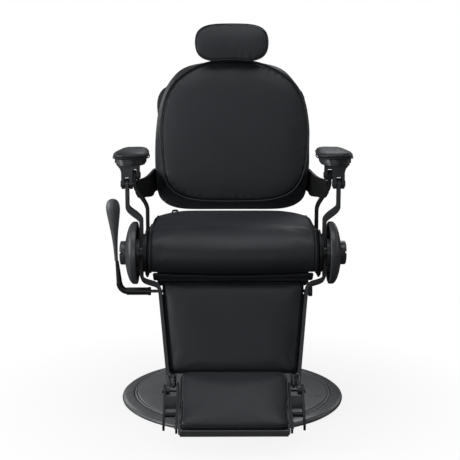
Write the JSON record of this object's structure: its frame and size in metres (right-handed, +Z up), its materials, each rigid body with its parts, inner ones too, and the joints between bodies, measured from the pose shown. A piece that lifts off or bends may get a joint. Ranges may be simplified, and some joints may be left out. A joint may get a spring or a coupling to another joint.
{
  "type": "barber chair",
  "caption": "Reclining barber chair with padded seat, back, headrest, armrests, swinging leg rest and flip-up footrest on a round hydraulic pedestal base.",
  "frame": {"origin": "centre of the round base's underside, on the floor", "axes": "+Z up, the chair's front faces -Y, +X to the right in a front view"},
  "size_m": [0.7548, 0.9986, 1.2201],
  "materials": {
    "black_frame_paint": "satin black enamel",
    "black_trim_paint": "fine-textured satin black enamel",
    "base_plate_paint": "semi-gloss black enamel on a spun steel dish",
    "cast_steel": "painted black, matt",
    "steel": "blackened steel, satin",
    "ram_chrome": "polished",
    "upholstery": "fine-grained black leatherette, semi-matt",
    "board": "raw plywood",
    "rubber": "matt",
    "grip_plastic": "smooth satin black plastic"
  },
  "bodies": {
    "base": {"base_plate": "cast_steel", "base_rim": "black_trim_paint", "base_seal_ring": "rubber", "base_cover": "base_plate_paint", "pump_flange": "black_frame_paint", "pump_bolts": "steel", "pump_housing": "black_trim_paint", "pump_shroud": "black_trim_paint", "ram_gland": "steel"},
    "pump_pedal": {"pump_pedal_arm": "black_frame_paint", "pump_pedal_pad": "rubber"},
    "ram": {"ram_tube": "ram_chrome", "ram_head": "black_frame_paint", "ram_retaining_ring": "steel"},
    "seat": {"swivel_hub": "black_frame_paint", "frame_rails": "black_frame_paint", "frame_beams": "black_frame_paint", "side_plate_left": "black_frame_paint", "side_plate_right": "black_frame_paint", "pivot_axles": "steel", "side_disc_left": "black_trim_paint", "side_disc_right": "black_trim_paint", "disc_knobs": "grip_plastic", "seat_pan": "board", "seat_cushion": "upholstery", "seat_valance": "upholstery", "shaft_brackets": "black_frame_paint"},
    "lever": {"lever_shaft": "steel", "shaft_end_cap": "grip_plastic", "recline_lever": "black_frame_paint", "lever_grip": "grip_plastic"},
    "back": {"back_arm_left": "black_frame_paint", "back_arm_right": "black_frame_paint", "back_board": "board", "back_shell": "black_trim_paint", "back_cushion": "upholstery", "headrest_guide": "black_frame_paint"},
    "clamp_knob": {"guide_knob": "grip_plastic"},
    "headrest_mast": {"headrest_post": "steel", "headrest_hinge_pin": "steel"},
    "headrest": {"headrest_plate": "black_frame_paint", "headrest_pad": "upholstery"},
    "armrest_left": {"arm_base_left": "black_trim_paint", "arm_pad_left": "upholstery", "arm_pins_left": "steel"},
    "armrest_right": {"arm_base_right": "black_trim_paint", "arm_pad_right": "upholstery", "arm_pins_right": "steel"},
    "leg_rest": {"leg_bar_left": "black_frame_paint", "leg_bar_right": "black_frame_paint", "leg_cross_bars": "black_frame_paint", "calf_board": "board", "calf_cushion": "upholstery", "footrest_hinge_pins": "steel", "hinge_springs": "steel"},
    "footrest": {"footrest_plate": "black_trim_paint", "footrest_pad": "upholstery", "footrest_bracket_left": "black_frame_paint", "footrest_bracket_right": "black_frame_paint"}
  },
  "joints": [
    {"name": "lift", "type": "slide", "parent": "base", "child": "ram", "axis": [0, 0, 1], "range_m": [0, 0.15]},
    {"name": "pedal_press", "type": "hinge", "parent": "base", "child": "pump_pedal", "pos_m": [0, 0.098, 0.058], "axis": [-1, 0, 0], "range_deg": [0, 13], "stiffness_Nm_per_rad": 10, "springref_deg": -17.19},
    {"name": "seat_swivel", "type": "hinge", "parent": "ram", "child": "seat", "pos_m": [0, 0, 0.392], "axis": [0, 0, 1], "continuous": true},
    {"name": "lever_pull", "type": "hinge", "parent": "seat", "child": "lever", "pos_m": [0, -0.1, 0.374], "axis": [-1, 0, 0], "range_deg": [0, 25], "stiffness_Nm_per_rad": 6, "springref_deg": -17.19},
    {"name": "back_recline", "type": "hinge", "parent": "seat", "child": "back", "pos_m": [0, 0.065, 0.513], "axis": [-1, 0, 0], "range_deg": [0, 50]},
    {"name": "leg_rest_swing", "type": "hinge", "parent": "seat", "child": "leg_rest", "pos_m": [0, -0.19, 0.513], "axis": [-1, 0, 0], "range_deg": [0, 50]},
    {"name": "armrest_left_level", "type": "hinge", "parent": "back", "child": "armrest_left", "pos_m": [-0.318, 0.065, 0.724], "axis": [-1, 0, 0], "range_deg": [-50, 0]},
    {"name": "armrest_right_level", "type": "hinge", "parent": "back", "child": "armrest_right", "pos_m": [0.318, 0.065, 0.724], "axis": [-1, 0, 0], "range_deg": [-50, 0]},
    {"name": "clamp_knob_turn", "type": "hinge", "parent": "back", "child": "clamp_knob", "pos_m": [0, 0.41186, 0.95863], "axis": [0, 0.9799, -0.1994], "range_deg": [-180, 180]},
    {"name": "headrest_slide", "type": "slide", "parent": "back", "child": "headrest_mast", "axis": [0, 0.1994, 0.9799], "range_m": [0, 0.1]},
    {"name": "headrest_tilt", "type": "hinge", "parent": "headrest_mast", "child": "headrest", "pos_m": [0, 0.39526, 1.1559], "axis": [-1, 0, 0], "range_deg": [-2, 30]},
    {"name": "footrest_flip", "type": "hinge", "parent": "leg_rest", "child": "footrest", "pos_m": [0, -0.395, 0.147], "axis": [-1, 0, 0], "range_deg": [0, 95]}
  ],
  "couplings": [
    {"joint": "leg_rest_swing", "follows": "back_recline", "ratio": 1},
    {"joint": "armrest_left_level", "follows": "back_recline", "ratio": -1},
    {"joint": "armrest_right_level", "follows": "back_recline", "ratio": -1}
  ]
}
